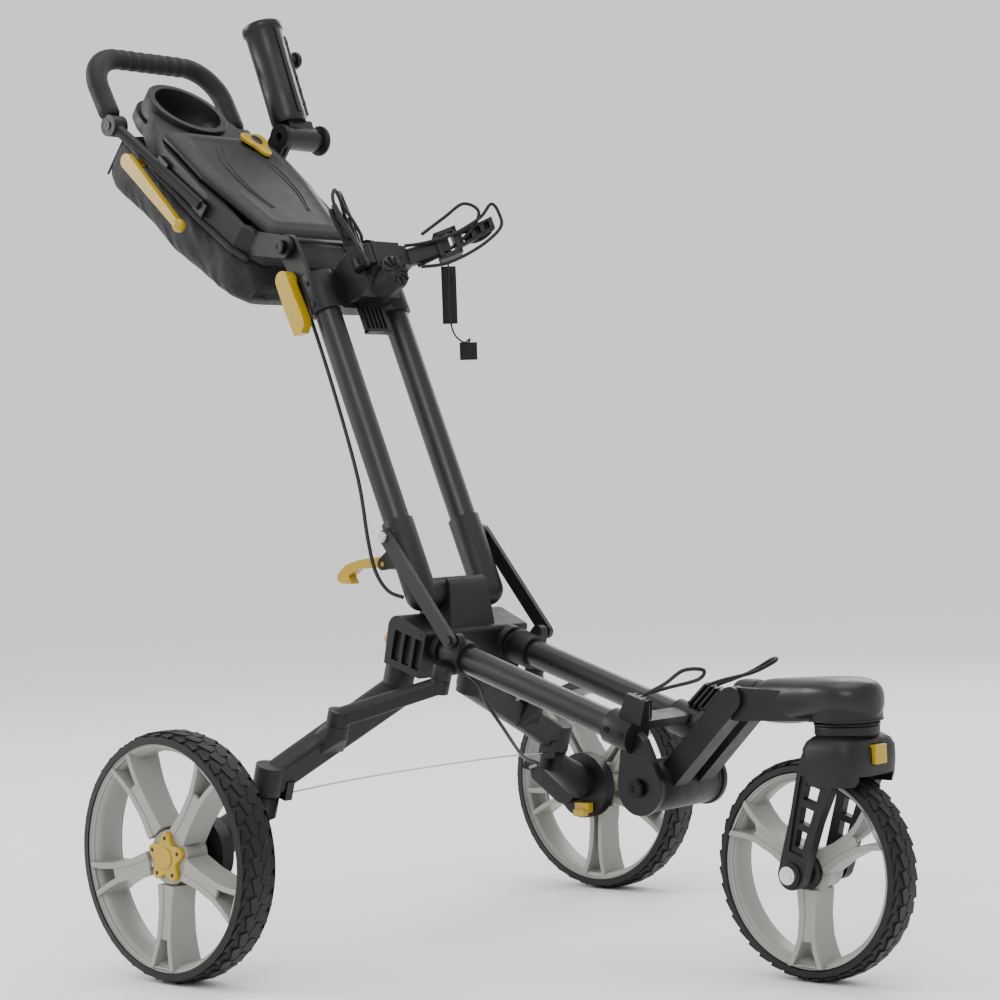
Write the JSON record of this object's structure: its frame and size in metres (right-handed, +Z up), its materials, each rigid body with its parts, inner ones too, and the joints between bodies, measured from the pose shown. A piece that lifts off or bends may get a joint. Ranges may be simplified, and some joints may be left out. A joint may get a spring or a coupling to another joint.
{
  "type": "golf push trolley",
  "caption": "Three-wheeled folding golf bag trolley with a swivelling front fork, push handle, lidded console, cup and umbrella holders.",
  "frame": {"origin": "on the ground, under the middle of the trolley's length and width", "axes": "+X forward to the front wheel, +Y to the left-hand rear wheel, +Z up"},
  "size_m": [1.1052, 0.726, 1.0935],
  "materials": {
    "black_plastic": "fine moulded texture",
    "charcoal_paint": "satin powder coat",
    "tyre": "moulded tread",
    "rim_grey": "moulded grey",
    "yellow_plastic": "satin",
    "steel": "satin",
    "soft_grip": "soft foam rubber",
    "cloth": "woven nylon",
    "cord_black": "braided elastic and cable sheath"
  },
  "bodies": {
    "frame": {"main_housing": "black_plastic", "lower_tubes": "charcoal_paint", "leg_pins": "steel", "lower_bracket": "black_plastic", "bracket_covers": "black_plastic", "lower_cradle": "black_plastic", "front_pivot_bolt": "steel", "brake_cords": "cord_black", "elastic_cords": "cord_black"},
    "upper_frame": {"upper_yoke": "black_plastic", "upper_tubes": "charcoal_paint", "upper_bracket": "black_plastic", "strut_bolts": "steel", "console_bolts": "steel", "brake_cable": "cord_black"},
    "sleeve": {"strut_sleeves": "black_plastic"},
    "strut_r": {"strut_right": "charcoal_paint"},
    "strut_l": {"strut_left": "charcoal_paint"},
    "link_r": {"link_right": "black_plastic"},
    "link_l": {"link_left": "black_plastic"},
    "leg_r": {"leg_right": "black_plastic"},
    "leg_l": {"leg_left": "black_plastic"},
    "carrier_r": {"hub_carrier_right": "black_plastic"},
    "carrier_l": {"hub_carrier_left": "black_plastic"},
    "tab_r": {"release_tab_right": "yellow_plastic"},
    "tab_l": {"release_tab_left": "yellow_plastic"},
    "wheel_r": {"rear_tyre_right": "tyre", "rear_rim_right": "rim_grey", "hub_cap_right": "yellow_plastic", "rear_bearings_right": "steel"},
    "wheel_l": {"rear_tyre_left": "tyre", "rear_rim_left": "rim_grey", "hub_cap_left": "yellow_plastic", "rear_bearings_left": "steel"},
    "button": {"release_button": "yellow_plastic"},
    "latch": {"fold_latch": "yellow_plastic"},
    "cradle_r": {"cradle_arm_right": "black_plastic"},
    "cradle_l": {"cradle_arm_left": "black_plastic"},
    "cam_r": {"angle_lever_right": "yellow_plastic"},
    "cam_l": {"angle_lever_left": "yellow_plastic"},
    "console": {"console_tray": "black_plastic", "cup_holder": "black_plastic", "handle_frame": "black_plastic", "handle_grip": "soft_grip", "storage_bag": "cloth", "umbrella_mount": "black_plastic"},
    "lid": {"console_lid": "black_plastic"},
    "lid_catch": {"lid_latch": "yellow_plastic"},
    "lever": {"brake_lever": "yellow_plastic"},
    "umbrella": {"umbrella_holder": "black_plastic"},
    "umbrella_nut": {"umbrella_knob": "black_plastic"},
    "clamp_nut": {"clamp_knob": "black_plastic"},
    "front": {"front_arm": "black_plastic", "swivel_cap": "black_plastic"},
    "fork": {"front_fork": "black_plastic", "front_axle": "steel"},
    "lock": {"lock_button": "yellow_plastic"},
    "front_wheel": {"front_rim": "rim_grey", "front_tyre": "tyre", "front_bearings": "steel"}
  },
  "joints": [
    {"name": "frame_fold", "type": "hinge", "parent": "frame", "child": "upper_frame", "pos_m": [-0.04575, 0, 0.386], "axis": [0, 1, 0], "range_deg": [0, 95]},
    {"name": "sleeve_slide", "type": "slide", "parent": "frame", "child": "sleeve", "axis": [0.9542, 0, -0.299], "range_m": [0, 0.1112]},
    {"name": "strut_swing_right", "type": "hinge", "parent": "upper_frame", "child": "strut_r", "pos_m": [-0.07288, -0.078, 0.45118], "axis": [0, 1, 0], "range_deg": [-101.18, 0]},
    {"name": "leg_fold_right", "type": "hinge", "parent": "frame", "child": "leg_r", "pos_m": [-0.07847, -0.06, 0.29304], "axis": [0.299, 0, 0.9542], "range_deg": [0, 54.83]},
    {"name": "link_swing_right", "type": "hinge", "parent": "sleeve", "child": "link_r", "pos_m": [0.00063, -0.076, 0.29131], "axis": [0.299, 0, 0.9542], "range_deg": [-38.18, 0]},
    {"name": "hub_fold_right", "type": "hinge", "parent": "leg_r", "child": "carrier_r", "pos_m": [-0.10981, -0.231, 0.18968], "axis": [0.299, 0, 0.9542], "range_deg": [-54.83, 0]},
    {"name": "rear_wheel_spin_right", "type": "hinge", "parent": "carrier_r", "child": "wheel_r", "pos_m": [-0.12875, -0.34, 0.131], "axis": [0, 1, 0], "continuous": true},
    {"name": "release_tab_press_right", "type": "slide", "parent": "carrier_r", "child": "tab_r", "axis": [0, 0, -1], "range_m": [0, 0.004]},
    {"name": "cradle_swing_right", "type": "hinge", "parent": "upper_frame", "child": "cradle_r", "pos_m": [-0.145, -0.027, 0.76496], "axis": [-0.3843, 0, 0.9232], "range_deg": [-20, 35]},
    {"name": "angle_lever_right", "type": "hinge", "parent": "upper_frame", "child": "cam_r", "pos_m": [-0.22401, -0.074, 0.74399], "axis": [0, 1, 0], "range_deg": [0, 70]},
    {"name": "strut_swing_left", "type": "hinge", "parent": "upper_frame", "child": "strut_l", "pos_m": [-0.07288, 0.078, 0.45118], "axis": [0, 1, 0], "range_deg": [-101.18, 0]},
    {"name": "leg_fold_left", "type": "hinge", "parent": "frame", "child": "leg_l", "pos_m": [-0.07847, 0.06, 0.29304], "axis": [0.299, 0, 0.9542], "range_deg": [-54.83, 0]},
    {"name": "link_swing_left", "type": "hinge", "parent": "sleeve", "child": "link_l", "pos_m": [0.00063, 0.076, 0.29131], "axis": [0.299, 0, 0.9542], "range_deg": [0, 38.18]},
    {"name": "hub_fold_left", "type": "hinge", "parent": "leg_l", "child": "carrier_l", "pos_m": [-0.10981, 0.231, 0.18968], "axis": [0.299, 0, 0.9542], "range_deg": [0, 54.83]},
    {"name": "rear_wheel_spin_left", "type": "hinge", "parent": "carrier_l", "child": "wheel_l", "pos_m": [-0.12875, 0.34, 0.131], "axis": [0, 1, 0], "continuous": true},
    {"name": "release_tab_press_left", "type": "slide", "parent": "carrier_l", "child": "tab_l", "axis": [0, 0, -1], "range_m": [0, 0.004]},
    {"name": "cradle_swing_left", "type": "hinge", "parent": "upper_frame", "child": "cradle_l", "pos_m": [-0.145, 0.027, 0.76496], "axis": [-0.3843, 0, 0.9232], "range_deg": [-35, 20]},
    {"name": "angle_lever_left", "type": "hinge", "parent": "upper_frame", "child": "cam_l", "pos_m": [-0.22401, 0.074, 0.74399], "axis": [0, 1, 0], "range_deg": [0, 70]},
    {"name": "release_button_press", "type": "slide", "parent": "frame", "child": "button", "axis": [0.9542, 0, -0.299], "range_m": [0, 0.004]},
    {"name": "fold_latch_swing", "type": "hinge", "parent": "upper_frame", "child": "latch", "pos_m": [-0.09266, -0.055, 0.42063], "axis": [0, 1, 0], "range_deg": [-20, 60]},
    {"name": "handle_angle", "type": "hinge", "parent": "upper_frame", "child": "console", "pos_m": [-0.22883, 0, 0.78314], "axis": [0, 1, 0], "range_deg": [-30, 35]},
    {"name": "lid_open", "type": "hinge", "parent": "console", "child": "lid", "pos_m": [-0.25491, 0, 0.79406], "axis": [0, 1, 0], "range_deg": [0, 80]},
    {"name": "lid_latch_turn", "type": "hinge", "parent": "lid", "child": "lid_catch", "pos_m": [-0.40042, 0.05, 0.92712], "axis": [0.6428, 0, 0.766], "range_deg": [-60, 0]},
    {"name": "brake_lever_pull", "type": "hinge", "parent": "console", "child": "lever", "pos_m": [-0.44993, -0.1, 0.90079], "axis": [0, 1, 0], "range_deg": [-35, 0]},
    {"name": "umbrella_tilt", "type": "hinge", "parent": "console", "child": "umbrella", "pos_m": [-0.40447, 0.113, 0.94097], "axis": [0, 1, 0], "range_deg": [-10, 60]},
    {"name": "umbrella_knob_turn", "type": "hinge", "parent": "umbrella", "child": "umbrella_nut", "pos_m": [-0.40447, 0.15, 0.94097], "axis": [0, 1, 0], "continuous": true},
    {"name": "clamp_knob_turn", "type": "hinge", "parent": "umbrella", "child": "clamp_nut", "pos_m": [-0.44278, 0.15, 1.04621], "axis": [0, 1, 0], "continuous": true},
    {"name": "front_arm_fold", "type": "hinge", "parent": "frame", "child": "front", "pos_m": [0.26025, 0, 0.189], "axis": [0, 1, 0], "range_deg": [0, 150]},
    {"name": "fork_swivel", "type": "hinge", "parent": "front", "child": "fork", "pos_m": [0.48425, 0, 0.25], "axis": [0, 0, 1], "continuous": true},
    {"name": "swivel_lock_press", "type": "slide", "parent": "fork", "child": "lock", "axis": [-1, 0, 0], "range_m": [0, 0.003]},
    {"name": "front_wheel_spin", "type": "hinge", "parent": "fork", "child": "front_wheel", "pos_m": [0.44125, 0, 0.1115], "axis": [0, 1, 0], "continuous": true}
  ],
  "couplings": [
    {"joint": "sleeve_slide", "follows": "frame_fold", "m_per_rad": 0.06705},
    {"joint": "strut_swing_right", "follows": "frame_fold", "ratio": -1.065},
    {"joint": "leg_fold_right", "follows": "frame_fold", "ratio": 0.57712},
    {"joint": "link_swing_right", "follows": "frame_fold", "ratio": -0.40187},
    {"joint": "hub_fold_right", "follows": "frame_fold", "ratio": -0.57712},
    {"joint": "strut_swing_left", "follows": "frame_fold", "ratio": -1.065},
    {"joint": "leg_fold_left", "follows": "frame_fold", "ratio": -0.57712},
    {"joint": "link_swing_left", "follows": "frame_fold", "ratio": 0.40187},
    {"joint": "hub_fold_left", "follows": "frame_fold", "ratio": 0.57712}
  ]
}
